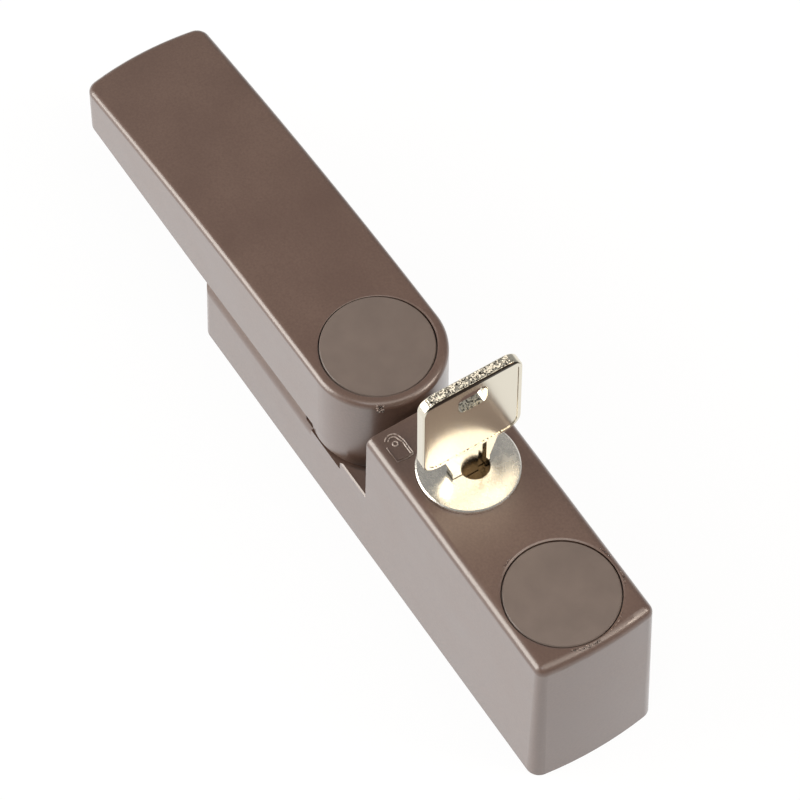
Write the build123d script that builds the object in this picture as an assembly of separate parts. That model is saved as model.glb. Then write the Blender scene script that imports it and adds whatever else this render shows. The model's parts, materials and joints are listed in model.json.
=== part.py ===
from build123d import *
import os
from math import cos, degrees, radians, sin, sqrt, tan

os.makedirs("parts", exist_ok=True)

# All sizes in millimetres and degrees. The swing pivot is the Z axis, the mounting
# face is the plane z = 0 and the lock block lies towards +X.

# Clearances
running_fit = 0.03
slip_fit = 0.02
axial_play = 0.1
swing_gap = 0.3
slide_gap = 0.2
key_gap = 0.12
yoke_play = 0.3
cap_gap = 0.25
stop_gap = 0.4
cap_head_room = 1.94
strike_end_gap = 1.6
strike_roof_gap = 1.5

# Cast body
body_width = 27.0
body_front_reach = 76.4
body_rear_reach = 44.0
side_draft = 1.1
end_bow_radius = 78.0
body_corner_radius = 2.7
block_height = 39.9
block_front = 15.8
block_edge_radius = 1.9
block_front_edge = 0.4
land_edge_radius = 4.8
land_round_end = -3.2
pocket_shift = 1.2
pocket_wall_gap = 0.2
pocket_depth = 2.6
pocket_wall_edge = 0.3

# Swing arm
arm_half_width = 13.45
arm_reach = 86.7
arm_tip_bow_radius = 60.0
arm_tip_corner = 2.8
arm_underside = 19.5
arm_relief_length = 45.0
arm_relief_slope = 1.55
arm_crown_height = 40.57
arm_crown_offset = 18.5
arm_crown_radius = 608.0
arm_edge_radius = 1.35
spigot_radius = 13.1
spigot_length = 2.3

# Round cover caps
cap_radius = 11.05
cap_thickness = 2.0
cap_skirt_radius = 9.1
cap_skirt_inner = 8.3
cap_skirt_length = 1.5
cap_edge = 0.2
cap_sunk = 0.1
recess_edge = 0.35
recess_flare = 2.3
body_cap_x = 62.7

# Mounting screws
screw_spacing = 92.0
screw_hole_radius = 3.1
screw_head_radius = 5.5
screw_seat_height = 8.0

# Swing pivot
shoulder_radius = 5.0
bush_wall = 1.5
pivot_thread_radius = 4.0
pivot_thread_length = 11.5
washer_thickness = 0.95
washer_radius = 8.8
disc_spring_height = 1.0
disc_spring_thickness = 0.5
disc_spring_radius = 8.6
pivot_head_radius = 8.0
pivot_head_height = 5.0
pivot_head_edge = 0.6
pivot_hex_across = 6.0
pivot_hex_depth = 3.0
glide_ring_radius = 7.2
glide_ring_thickness = 0.55

# Swing stop
stop_pin_radius = 2.0
stop_pin_circle = 10.0
stop_pin_seat_depth = 8.0
swing_angle = 90.0

# Lock cylinder
cylinder_x = 31.24
cylinder_rest_turn = -0.6
barrel_radius = 9.0
barrel_seat_height = 24.0
plug_radius = 6.47
disc_radius = 9.9
disc_thickness = 0.94
disc_dish = 0.25
disc_rim = 0.6
disc_edge = 0.25
disc_recess_radius = 3.0
disc_recess_depth = 1.5
disc_recess_forward = 0.6
disc_recess_aside = 1.0
retaining_pin_radius = 1.5
retaining_pin_offset = 8.4
retaining_pin_height = 31.0
retaining_pin_length = 18.4
retaining_pin_sunk = 0.6

# Wafers and their springs
wafer_count = 5
wafer_pitch = 2.2
wafer_first_height = 29.3
wafer_thickness = 1.0
wafer_width = 7.0
wafer_length = 10.6
wafer_corner = 0.8
wafer_lug_reach = 1.7
wafer_lug_length = 0.8
wafer_lug_y = 2.6
spring_radius = 0.5
spring_wire = 0.24
spring_turns = 3
spring_pitch = 1.45
spring_bends = 8

# Cam and locking bolt
cam_radius = 7.2
cam_thickness = 1.9
cam_offset = 4.5
cam_start = 45.0
cam_pin_radius = 1.5
cam_square = 3.9
cam_web = 0.8
cam_screw_radius = 1.5
cam_screw_head_radius = 2.7
cam_screw_head_height = 0.9
cam_screw_length = 5.0
cam_screw_slot_width = 0.6
cam_screw_slot_depth = 0.45
bolt_base_height = 17.6
bolt_nose_height = 8.4
bolt_nose_half_width = 4.5
bolt_nose_length = 5.0
bolt_nose_bevel = 0.6
bolt_tail_height = 3.2
bolt_tail_half_width = 7.6
bolt_tail_start = 7.0
bolt_tail_end_wall = 2.0
bolt_sunk = 0.2
bolt_dowel_radius = 1.0
bolt_dowel_reach = 2.5
strike_thickness = 1.7
strike_end = 11.2
channel_end_gap = 1.0

# Key
blade_width = 8.1
blade_thickness = 2.0
blade_tip_height = 27.9
blade_cut_depth = 0.9
blade_tip_bevel = 1.6
blade_groove_start = 1.5
blade_groove_width = 1.8
blade_groove_depth = 0.7
blade_groove_run = 0.8
bow_width = 21.4
bow_thickness = 2.4
bow_bottom = 48.3
bow_top = 71.9
bow_top_corner = 3.0
bow_bottom_corner = 3.6
bow_rim = 0.9
bow_panel_sunk = 0.15
bow_edge = 0.4
neck_half_width = 5.7
neck_start = 42.6
ring_slot_width = 6.2
ring_slot_height = 5.6
ring_slot_corner = 1.6
ring_slot_middle = 66.4

# Values that follow from the sizes above
half_width = body_width / 2
land_height = arm_underside - swing_gap
pocket_floor = land_height - pocket_depth
pocket_radius = block_front - pocket_shift - pocket_wall_gap
spigot_bottom = arm_underside - spigot_length
bush_radius = shoulder_radius + running_fit + bush_wall
arm_top = arm_crown_height - arm_crown_offset**2 / (2 * arm_crown_radius)
arm_cap_seat = arm_top - cap_sunk - cap_thickness
pivot_stack = axial_play + washer_thickness + disc_spring_height + pivot_head_height
hub_seat_height = arm_cap_seat - cap_head_room - pivot_stack
body_cap_seat = block_height - cap_sunk - cap_thickness
cap_recess_radius = cap_radius + cap_gap
skirt_bore_radius = cap_skirt_radius + cap_gap / 2
skirt_bore_depth = cap_skirt_length + axial_play
land_screw_x = body_cap_x - screw_spacing
disc_bottom = block_height + axial_play
barrel_bore_radius = plug_radius + running_fit
cam_top = barrel_seat_height - axial_play
cam_bottom = cam_top - cam_thickness
bolt_top = bolt_base_height + bolt_tail_height
channel_floor = bolt_base_height - slide_gap
channel_roof = bolt_top + slide_gap
bolt_travel = 2 * cam_offset * sin(radians(cam_start))
bolt_tip = block_front + bolt_sunk
notch_half_width = bolt_nose_half_width + yoke_play
notch_floor = bolt_tip - bolt_travel - strike_end_gap
notch_roof = bolt_base_height + bolt_nose_height + strike_roof_gap
yoke_x = cylinder_x + cam_offset * cos(radians(cam_start))
yoke_half_width = cam_pin_radius + yoke_play
bolt_end = yoke_x + yoke_half_width + bolt_tail_end_wall
stop_pin_top = arm_underside - swing_gap - stop_gap


def block(x0, x1, y0, y1, z0, z1):
    """A box between two corners."""
    return Pos((x0 + x1) / 2, (y0 + y1) / 2, (z0 + z1) / 2) * Box(x1 - x0, y1 - y0, z1 - z0)


def rod(x, y, z0, z1, radius):
    """An upright cylinder."""
    return Pos(x, y, (z0 + z1) / 2) * Cylinder(radius, z1 - z0)


def ring(x, y, z0, z1, outer, inner):
    """An upright tube."""
    return rod(x, y, z0, z1, outer) - rod(x, y, z0 - 1, z1 + 1, inner)


def turn_to_rest(shape):
    """The small angle at which the plug and the key stand."""
    return Pos(cylinder_x, 0, 0) * Rot(0, 0, cylinder_rest_turn) * shape


def bowed_outline():
    """Plan of the body: straight sides and slightly bowed ends with round corners."""
    dip = end_bow_radius - sqrt(end_bow_radius**2 - half_width**2)
    front, rear = body_front_reach, -body_rear_reach
    edges = [
        Line((rear + dip, -half_width), (front - dip, -half_width)),
        ThreePointArc((front - dip, -half_width), (front, 0), (front - dip, half_width)),
        Line((front - dip, half_width), (rear + dip, half_width)),
        ThreePointArc((rear + dip, half_width), (rear, 0), (rear + dip, -half_width)),
    ]
    face = make_face(edges)
    return fillet(face.vertices(), body_corner_radius)


def land_rounding():
    """What is rounded off along the sides and the far end of the low land."""
    low = land_height - land_edge_radius - 2
    lean = tan(radians(side_draft))
    far = 200
    side_low, side_top = half_width - low * lean, half_width - land_height * lean
    corners = [(-side_low, low), (-side_top, land_height), (side_top, land_height), (side_low, low)]
    profile = make_face(Polyline(*corners, close=True))
    upper = [v for v in profile.vertices() if v.Y > land_height - 0.01]
    profile = fillet(upper, land_edge_radius)
    bar = extrude(Plane.YZ.offset(-far / 2) * profile, far)
    end_x = -body_rear_reach + end_bow_radius
    end_low, end_top = end_bow_radius - low * lean, end_bow_radius - land_height * lean
    corners = [(0, low), (-end_low, low), (-end_top, land_height), (0, land_height)]
    side = make_face(Polyline(*corners, close=True))
    outer = [v for v in side.vertices() if v.Y > land_height - 0.01 and v.X < -1]
    side = fillet(outer, land_edge_radius)
    bowl = Pos(end_x, 0, 0) * revolve(Plane.XZ * side, Axis.Z)
    kept = bar & bowl
    blank = block(-far, land_round_end, -far, far, low + 1, land_height + 5)
    return blank - kept


def cap_seat(x, top, seat, lean):
    """The stepped round recess that takes a cover cap, with its mouth broken to the surface."""
    recess = rod(x, 0, seat, top + 5, cap_recess_radius)
    recess += rod(x, 0, seat - skirt_bore_depth, seat + 0.1, skirt_bore_radius)
    mouth_radius = cap_recess_radius + recess_edge
    mouth = Cone(mouth_radius - recess_flare, mouth_radius + recess_flare, 2)
    return recess + Pos(x, 0, top) * Rot(0, -lean, 0) * mouth


def lock_body():
    """The casting: low land under the arm, hub pocket, high block with the lock."""
    solid = extrude(bowed_outline(), block_height, taper=side_draft)
    low = land_height
    solid -= block(-150, block_front, -50, 50, low, block_height + 5)
    top = [e for e in solid.edges() if e.center().Z > block_height - 0.01]
    rim = [e for e in top if abs(e.center().X - block_front) >= 0.01]
    solid = fillet(rim, block_edge_radius)
    ahead = [e for e in solid.edges() if abs(e.center().X - block_front) < 0.01]
    solid = fillet([e for e in ahead if e.center().Z > low + 0.3], block_front_edge)
    solid -= land_rounding()
    solid -= rod(pocket_shift, 0, pocket_floor, low + 0.5, pocket_radius)
    side = half_width - low * tan(radians(side_draft))
    level = [e for e in solid.edges() if abs(e.center().Z - low) < 0.01]
    solid = chamfer([e for e in level if abs(abs(e.center().Y) - side) < 0.01], pocket_wall_edge)
    # cover cap and mounting screw wells
    solid -= cap_seat(body_cap_x, block_height, body_cap_seat, 0)
    solid -= rod(body_cap_x, 0, screw_seat_height, body_cap_seat, screw_head_radius)
    solid -= rod(land_screw_x, 0, screw_seat_height, low + 1, screw_head_radius)
    for x in (body_cap_x, land_screw_x):
        solid -= rod(x, 0, -1, screw_seat_height + 0.1, screw_hole_radius)
    # pivot thread and stop pin holes
    thread_end = pocket_floor - pivot_thread_length - axial_play
    solid -= rod(0, 0, thread_end, pocket_floor + 1, pivot_thread_radius + slip_fit)
    pin_seat = pocket_floor - stop_pin_seat_depth
    solid -= rod(-stop_pin_circle, 0, pin_seat, pocket_floor + 1, stop_pin_radius + slip_fit)
    # lock cylinder bore, cam space and bolt channel
    solid -= rod(cylinder_x, 0, barrel_seat_height, block_height + 1, barrel_radius + slip_fit)
    solid -= rod(cylinder_x, 0, channel_roof - 0.1, barrel_seat_height + 0.1, cam_radius + 2 * slide_gap)
    wide = bolt_tail_half_width + slide_gap
    solid -= block(pocket_shift, bolt_end + channel_end_gap, -wide, wide, channel_floor, channel_roof)
    narrow = bolt_nose_half_width + slide_gap
    nose_end = bolt_tip + bolt_nose_length + slide_gap
    nose_roof = bolt_base_height + bolt_nose_height + slide_gap
    solid -= block(pocket_shift, nose_end, -narrow, narrow, channel_roof - 0.1, nose_roof)
    return solid - retaining_pin_shape(slip_fit)


def retaining_pin_shape(room):
    """The cross pin that holds the lock barrel, along Y from the hidden side, or its hole."""
    side = half_width - retaining_pin_height * tan(radians(side_draft))
    end = side - retaining_pin_sunk
    pin = Cylinder(retaining_pin_radius + room, retaining_pin_length)
    place = Pos(cylinder_x + retaining_pin_offset, end - retaining_pin_length / 2, retaining_pin_height)
    return place * Rot(90, 0, 0) * pin


def arm_crown():
    """The long cylinder whose skin is the gently curved top of the arm."""
    centre = Pos(arm_crown_offset, 0, arm_crown_height - arm_crown_radius)
    return centre * Rot(90, 0, 0) * Cylinder(arm_crown_radius, 6 * arm_half_width)


def swing_arm():
    """The arm: half-round hub, long blade with a bowed tip and a curved top."""
    dip = arm_tip_bow_radius - sqrt(arm_tip_bow_radius**2 - arm_half_width**2)
    tip = -arm_reach + dip
    edges = [
        Line((0, -arm_half_width), (tip, -arm_half_width)),
        ThreePointArc((tip, -arm_half_width), (-arm_reach, 0), (tip, arm_half_width)),
        Line((tip, arm_half_width), (0, arm_half_width)),
        ThreePointArc((0, arm_half_width), (arm_half_width, 0), (0, -arm_half_width)),
    ]
    plan = make_face(edges)
    plan = fillet([v for v in plan.vertices() if v.X < -1], arm_tip_corner)
    solid = extrude(Pos(0, 0, arm_underside) * plan, arm_crown_height)
    solid = solid & arm_crown()
    crown = solid.faces().sort_by(Axis.Z)[-1]
    solid = fillet(crown.edges(), arm_edge_radius)
    # the underside rises a little towards the hub
    relief = block(0, 2 * arm_relief_length, -arm_reach, arm_reach, -spigot_length, 0)
    solid -= Pos(-arm_relief_length, 0, arm_underside) * Rot(0, -arm_relief_slope, 0) * relief
    solid += rod(0, 0, spigot_bottom, notch_roof, spigot_radius)
    solid -= rod(0, 0, spigot_bottom - 1, hub_seat_height + 1, bush_radius)
    solid -= rod(0, 0, hub_seat_height, arm_cap_seat, skirt_bore_radius)
    lean = degrees(arm_crown_offset / arm_crown_radius)
    solid -= cap_seat(0, arm_top, arm_cap_seat, lean)
    # notches for the locking bolt and its strike plates at both ends of the swing
    wide = notch_half_width + strike_thickness
    notch = block(notch_floor, arm_half_width + 2, -wide, wide, spigot_bottom - 1, notch_roof)
    solid -= notch
    solid -= Rot(0, 0, swing_angle) * notch
    # groove that runs over the stop pin
    slot = SlotArc(CenterArc((0, 0), stop_pin_circle, 180, swing_angle), 2 * (stop_pin_radius + stop_gap))
    solid -= extrude(Pos(0, 0, spigot_bottom - 1) * slot, stop_pin_top + swing_gap - spigot_bottom + 1)
    return solid


def strike_plate(angle, side):
    """A hardened plate on one side of a hub notch, against which the bolt locks."""
    near, far = notch_half_width, notch_half_width + strike_thickness
    low, high = min(side * near, side * far), max(side * near, side * far)
    return Rot(0, 0, angle) * block(notch_floor, strike_end, low, high, spigot_bottom, notch_roof)


def cover_cap(x, seat):
    """A plain round cap with a short skirt below."""
    disc = rod(x, 0, seat, seat + cap_thickness, cap_radius)
    upper = disc.edges().sort_by(Axis.Z)[-1:]
    disc = chamfer(upper, cap_edge)
    return disc + ring(x, 0, seat - cap_skirt_length, seat + 0.5, cap_skirt_radius, cap_skirt_inner)


def pivot_bolt():
    """Shoulder screw: thread, ground shoulder and head with a hexagon socket."""
    head_low = hub_seat_height + axial_play + washer_thickness + disc_spring_height
    head_top = head_low + pivot_head_height
    solid = rod(0, 0, pocket_floor - pivot_thread_length, pocket_floor, pivot_thread_radius)
    solid += rod(0, 0, pocket_floor, head_low, shoulder_radius)
    head = rod(0, 0, head_low, head_top, pivot_head_radius)
    head = chamfer(head.edges().sort_by(Axis.Z)[-1:], pivot_head_edge)
    socket = RegularPolygon(pivot_hex_across / 2, 6, major_radius=False)
    head -= extrude(Pos(0, 0, head_top - pivot_hex_depth) * socket, pivot_hex_depth + 1)
    return solid + head


def pivot_washer():
    low = hub_seat_height + axial_play
    return ring(0, 0, low, low + washer_thickness, washer_radius, shoulder_radius + slide_gap)


def pivot_disc_spring():
    """A coned spring washer under the bolt head."""
    low = hub_seat_height + axial_play + washer_thickness
    top = low + disc_spring_height
    inner = shoulder_radius + slide_gap
    t = disc_spring_thickness
    outer = disc_spring_radius
    corners = [(outer, low), (outer, low + t), (inner, top), (inner, top - t)]
    return revolve(Plane.XZ * make_face(Polyline(*corners, close=True)), Axis.Z)


def glide_ring():
    """The thin plastic ring on which the hub turns in its pocket."""
    top = pocket_floor + glide_ring_thickness
    return ring(0, 0, pocket_floor, top, glide_ring_radius, shoulder_radius + slide_gap)


def cylinder_barrel():
    """The fixed shell of the lock with its bore and the two wafer channels."""
    solid = ring(cylinder_x, 0, barrel_seat_height, block_height, barrel_radius, barrel_bore_radius)
    half = wafer_width / 2 + slide_gap
    low = wafer_first_height - wafer_pitch
    high = wafer_first_height + wafer_count * wafer_pitch
    channel = block(-half, half, -barrel_bore_radius - 1, barrel_bore_radius + 1, low, high)
    solid -= turn_to_rest(channel)
    return solid - retaining_pin_shape(slip_fit)


def wafer_heights():
    return [wafer_first_height + i * wafer_pitch for i in range(wafer_count)]


def cylinder_plug():
    """The turning plug: face disc, keyway, wafer slots, spring pockets and square end."""
    solid = rod(0, 0, barrel_seat_height, disc_bottom + 0.1, plug_radius)
    rim_top = disc_bottom + disc_thickness
    disc = rod(0, 0, disc_bottom, rim_top, disc_radius)
    disc = chamfer(disc.edges().sort_by(Axis.Z)[-1:], disc_edge)
    dish = make_face(
        Polyline((0, rim_top - disc_dish), (disc_radius - disc_rim, rim_top), (0, rim_top), close=True)
    )
    disc -= revolve(Plane.XZ * dish, Axis.Z)
    solid += disc
    recess_floor = rim_top - disc_dish - disc_recess_depth
    solid -= rod(disc_recess_forward, disc_recess_aside, recess_floor, rim_top + 1, disc_recess_radius)
    half = cam_square / 2
    solid += block(-half, half, -half, half, cam_bottom + cam_web, cam_top + 0.5)
    solid -= rod(0, 0, cam_bottom - 1, cam_bottom + cam_screw_length + 0.3, cam_screw_radius)
    wide, long = blade_thickness / 2 + key_gap, blade_width / 2 + key_gap
    low = blade_tip_height - key_gap
    keyway = block(-wide, wide, -long, long, low, rim_top + 1)
    ward = blade_groove(-key_gap, low - 1, rim_top + 2)
    solid -= keyway - ward - Rot(0, 0, 180) * ward
    half = wafer_width / 2 + slip_fit
    for z in wafer_heights():
        tall = wafer_thickness / 2 + slip_fit
        solid -= block(-half, half, -plug_radius, plug_radius, z - tall, z + tall)
        reach = wafer_width / 2 + wafer_lug_reach + slide_gap
        start = wafer_lug_y - spring_turns * spring_pitch - 2 * spring_wire
        end = wafer_lug_y + wafer_lug_length + slide_gap
        tall = spring_radius + spring_wire / 2 + slide_gap
        solid -= block(wafer_width / 2, reach, start, end, z - tall, z + tall)
    return turn_to_rest(solid)


def blade_groove(room, low, high):
    """The groove milled along one face of the blade, or the ward of the keyway that runs in it."""
    face = blade_thickness / 2
    start, end = blade_groove_start - room, blade_groove_start + blade_groove_width + room
    return block(face - blade_groove_depth - room, face + 1, start, end, low, high)


def wafer(z):
    """A flat tumbler with a window for the blade and a side lug for its spring."""
    half_w, half_l = wafer_width / 2, wafer_length / 2
    low, high = z - wafer_thickness / 2, z + wafer_thickness / 2
    plate = block(-half_w, half_w, -half_l, half_l, low, high)
    ends = [e for e in plate.edges().filter_by(Axis.Z)]
    plate = fillet(ends, wafer_corner)
    lug_end = wafer_lug_y + wafer_lug_length
    plate += block(half_w - 0.5, half_w + wafer_lug_reach, wafer_lug_y, lug_end, low, high)
    wide, long = blade_thickness / 2 + key_gap, blade_width / 2 + key_gap
    plate -= block(-wide, wide, -long, long, low - 1, high + 1)
    return turn_to_rest(plate)


def wafer_spring(z):
    """A small coil spring lying along Y beside its wafer, its turns bent in short straight steps."""
    step, rise = 360 / spring_bends, spring_pitch / spring_bends
    bends = range(spring_turns * spring_bends + 1)
    path = Polyline(*[Vector(spring_radius, 0, i * rise).rotate(Axis.Z, i * step) for i in bends])
    outwards = Vector(1, 0, 0).rotate(Axis.Z, step / 2)
    start = Plane(origin=path @ 0, x_dir=outwards, z_dir=path % 0)
    coil = sweep(start * Rectangle(spring_wire, spring_wire), path=path, transition=Transition.RIGHT)
    x = wafer_width / 2 + wafer_lug_reach / 2
    y = wafer_lug_y - spring_wire
    return turn_to_rest(Pos(x, y, z) * Rot(90, 0, 0) * coil)


def cam_driver():
    """The disc on the plug's square end that carries the crank pin."""
    disc = rod(cylinder_x, 0, cam_bottom, cam_top, cam_radius)
    half = cam_square / 2 + slip_fit
    square = block(-half, half, -half, half, cam_bottom + cam_web, cam_top + 1)
    disc -= turn_to_rest(square)
    disc -= rod(cylinder_x, 0, cam_bottom - 1, cam_top, cam_screw_radius + slip_fit)
    return disc - cam_pin()


def cam_pin():
    x = cylinder_x + cam_offset * cos(radians(cam_start))
    y = cam_offset * sin(radians(cam_start))
    return rod(x, y, bolt_base_height + swing_gap, cam_top, cam_pin_radius)


def cam_screw():
    """Low slotted screw that holds the cam on the plug."""
    head_low = cam_bottom - cam_screw_head_height
    head = rod(cylinder_x, 0, head_low, cam_bottom, cam_screw_head_radius)
    half = cam_screw_slot_width / 2
    reach = cam_screw_head_radius
    slot = block(-reach, reach, -half, half, head_low - 1, head_low + cam_screw_slot_depth)
    head -= turn_to_rest(slot)
    return head + rod(cylinder_x, 0, cam_bottom, cam_bottom + cam_screw_length, cam_screw_radius)


def locking_bolt():
    """The nose of the sliding bolt, which enters a notch of the hub."""
    half, low, high = bolt_nose_half_width, bolt_base_height, bolt_base_height + bolt_nose_height
    nose = block(bolt_tip, bolt_tip + bolt_nose_length, -half, half, low, high)
    lead = [e for e in nose.edges() if abs(e.center().X - bolt_tip) < 0.01]
    return chamfer(lead, bolt_nose_bevel) - bolt_dowel()


def bolt_slide_plate():
    """The flat tail behind the nose, with the yoke slot for the crank pin."""
    back, tail = bolt_tip + bolt_nose_length, bolt_tip + bolt_tail_start
    low, high = bolt_base_height, bolt_top
    plate = block(back, tail + 1, -bolt_nose_half_width, bolt_nose_half_width, low, high)
    plate += block(tail, bolt_end, -bolt_tail_half_width, bolt_tail_half_width, low, high)
    y_low = cam_offset * sin(radians(cam_start)) - yoke_half_width
    y_high = cam_offset + yoke_half_width
    slot = block(yoke_x - yoke_half_width, yoke_x + yoke_half_width, y_low, y_high, low - 1, high + 1)
    return plate - slot - bolt_dowel()


def bolt_dowel():
    """The pin that joins the nose and the slide plate."""
    joint, middle = bolt_tip + bolt_nose_length, (bolt_base_height + bolt_top) / 2
    return Pos(joint, 0, middle) * Rot(0, 90, 0) * Cylinder(bolt_dowel_radius, 2 * bolt_dowel_reach)


def key():
    """Flat key: bow with a sunk panel and ring slot, tapered neck, notched blade."""
    half_b, half_w = bow_width / 2, blade_width / 2
    middle = (bow_top + bow_bottom) / 2
    tall = bow_top - bow_bottom
    face = Pos(0, middle) * Rectangle(bow_width, tall)
    upper = [v for v in face.vertices() if v.Y > middle]
    face = fillet(upper, bow_top_corner)
    lower = [v for v in face.vertices() if v.Y < bow_bottom + 0.01]
    face = fillet(lower, bow_bottom_corner)
    ring_slot = RectangleRounded(ring_slot_width, ring_slot_height, ring_slot_corner)
    ring_slot = Pos(0, ring_slot_middle) * ring_slot
    inset = offset(face, -bow_rim)
    depth = bow_thickness / 2
    bow = extrude(Plane.YZ * face, depth, both=True)
    outline = [e for e in bow.edges() if abs(abs(e.center().X) - depth) < 0.01]
    bow = fillet(outline, bow_edge)
    for side in (1, -1):
        panel = extrude(Plane.YZ.offset(side * (depth - bow_panel_sunk)) * inset, side * 1.0)
        bow -= panel
    bow -= extrude(Plane.YZ * ring_slot, bow_thickness, both=True)
    tip = blade_tip_height
    points = [
        (-neck_half_width, bow_bottom + bow_rim / 2),
        (-neck_half_width, bow_bottom),
        (-half_w, neck_start),
        (-half_w, tip + blade_tip_bevel),
        (-half_w + blade_tip_bevel, tip),
        (half_w - blade_tip_bevel, tip),
        (half_w, tip + blade_tip_bevel),
        (half_w, neck_start),
        (neck_half_width, bow_bottom),
        (neck_half_width, bow_bottom + bow_rim / 2),
    ]
    flat = make_face(Polyline(*points, close=True))
    blade = extrude(Plane.YZ * flat, blade_thickness / 2, both=True)
    groove = blade_groove(0, tip - 1, bow_bottom + blade_groove_run)
    blade -= groove
    blade -= Rot(0, 0, 180) * groove
    # bitting notches along both edges, shallow and deep in turn
    for i, z in enumerate(wafer_heights()):
        deep = blade_cut_depth * (0.5 + 0.5 * (i % 2))
        for side in (1, -1):
            cut = Polyline(
                (side * (half_w + 1), z - 1.0),
                (side * (half_w - deep), z - 0.4),
                (side * (half_w - deep), z + 0.4),
                (side * (half_w + 1), z + 1.0),
                close=True,
            )
            blade -= extrude(Plane.YZ * make_face(cut), blade_thickness, both=True)
    return turn_to_rest(bow + blade)


shapes = {
    "lock_body": lock_body(),
    "swing_arm": swing_arm(),
    "arm_cap": cover_cap(0, arm_cap_seat),
    "body_cap": cover_cap(body_cap_x, body_cap_seat),
    "pivot_bolt": pivot_bolt(),
    "pivot_bush": ring(0, 0, spigot_bottom, hub_seat_height, bush_radius, shoulder_radius + running_fit),
    "pivot_washer": pivot_washer(),
    "pivot_disc_spring": pivot_disc_spring(),
    "glide_ring": glide_ring(),
    "stop_pin": rod(-stop_pin_circle, 0, pocket_floor - stop_pin_seat_depth, stop_pin_top, stop_pin_radius),
    "cylinder_barrel": cylinder_barrel(),
    "barrel_retaining_pin": retaining_pin_shape(0),
    "cylinder_plug": cylinder_plug(),
    "cam_driver": cam_driver(),
    "cam_pin": cam_pin(),
    "cam_screw": cam_screw(),
    "locking_bolt": locking_bolt(),
    "bolt_slide_plate": bolt_slide_plate(),
    "bolt_dowel": bolt_dowel(),
    "key": key(),
}
for number, height in enumerate(wafer_heights(), 1):
    shapes[f"wafer_{number}"] = wafer(height)
    shapes[f"wafer_spring_{number}"] = wafer_spring(height)

places = [(angle, side) for angle in (0, swing_angle) for side in (-1, 1)]
for number, (angle, side) in enumerate(places, 1):
    shapes[f"strike_plate_{number}"] = strike_plate(angle, side)

for name, shape in shapes.items():
    export_step(shape, f"parts/{name}.step")
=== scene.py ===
import json
from math import cos, pi, radians, sin

import bmesh
import bpy
from bpy.props import FloatProperty, FloatVectorProperty, IntProperty, PointerProperty
from mathutils import Matrix, Vector


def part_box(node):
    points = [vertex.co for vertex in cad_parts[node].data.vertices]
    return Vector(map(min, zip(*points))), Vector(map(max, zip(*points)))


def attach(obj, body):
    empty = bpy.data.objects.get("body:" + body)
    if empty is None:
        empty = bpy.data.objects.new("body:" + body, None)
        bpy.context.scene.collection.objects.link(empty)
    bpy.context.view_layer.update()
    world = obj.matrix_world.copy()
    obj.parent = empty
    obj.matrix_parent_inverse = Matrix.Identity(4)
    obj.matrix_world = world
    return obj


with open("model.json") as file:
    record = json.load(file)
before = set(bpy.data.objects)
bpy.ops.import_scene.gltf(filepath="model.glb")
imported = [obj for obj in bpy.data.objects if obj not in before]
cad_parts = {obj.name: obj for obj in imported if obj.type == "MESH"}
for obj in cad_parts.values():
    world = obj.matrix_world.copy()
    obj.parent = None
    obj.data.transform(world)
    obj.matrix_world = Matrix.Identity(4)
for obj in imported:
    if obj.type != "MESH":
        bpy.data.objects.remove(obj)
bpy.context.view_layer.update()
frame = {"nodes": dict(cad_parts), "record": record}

bl_info = {
    "name": "Window lock dresser",
    "version": (1, 0, 0),
    "blender": (4, 5, 0),
    "location": "3D View > Sidebar > Window lock",
    "description": "Finishes, small relief and studio for a window lock with a swing arm",
    "category": "Object",
}

MM = 0.001

# Places that follow from the frame
plug_low, plug_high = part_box("cylinder_plug")
plug_axis = (plug_low + plug_high) / 2
cap_low, cap_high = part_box("body_cap")
cap_axis = (cap_low + cap_high) / 2
key_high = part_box("key")[1]
swing_axis = Vector((0, 0, 0))

# Height of the block's top, and the turn of plug and key at rest
BLOCK_TOP = 39.9 * MM
REST_TURN = radians(-0.6)

# Flash round the block's cap: from and to in degrees, and the radii in mm between which it lies
RIM_FLASH = (
    (97, 110, 11.75, 11.95),
    (66, 82, 11.7, 11.95),
    (14, 38, 11.65, 11.85),
    (-26, 4, 11.7, 12.2),
    (-163, -149, 11.8, 12.05),
)
RIM_STEPS = 6
# Gate mark on the hub: its sector in degrees, and radii and heights in mm up the wall and over the
# rounded edge
GATE_SECTOR = (-33.5, -27.5)
GATE_PROFILE = ((13.45, 38.5), (13.45, 39.2), (13.25, 39.85), (12.8, 40.3))
GATE_STEPS = 4
# A fleck of the gate mark is this much larger than one of the rim
GATE_FLECK = 1.5
FLECKS_PER_M2 = 16e6

# Torn strip on top of the bow: half its length, and how far it reaches to the front and the rear
SHEAR_HALF_LENGTH = 8.2 * MM
SHEAR_FRONT = 0.5 * MM
SHEAR_REAR = -0.85 * MM
GRAINS_PER_M2 = 9e6
# Share of its height that a torn grain keeps above the bow's top
PRESSED = 0.22

# Height lost by a cap with the square of the distance from its middle, per metre: the rim leans
# about five degrees
CAP_CROWN = -4.0

# Sockets of a Mix node set to colour, whose names are the same for every kind of data
MIX_SHARE, MIX_FIRST, MIX_SECOND, MIX_RESULT = 0, 6, 7, 2

# Lamps: width, place and tint; the studio's settings hold their powers under the same names
LAMPS = {
    "softbox": (0.74, (0.36, 0.1, 0.85), "fff6ea"),
    "window": (0.78, (-0.47, -0.82, 0.36), "fffaf2"),
    "front_light": (0.3, (0.3, -0.42, 0.85), "ffffff"),
    "rim_light": (0.32, (0.5, 0.52, 0.6), "ffeede"),
}
LAMP_TARGET = Vector((0, 0, 30 * MM))
# The floor lies a little below the base, so that the two don't share a plane
FLOOR_LEVEL = -0.2 * MM
FLOOR_HALF = 3.0


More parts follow.
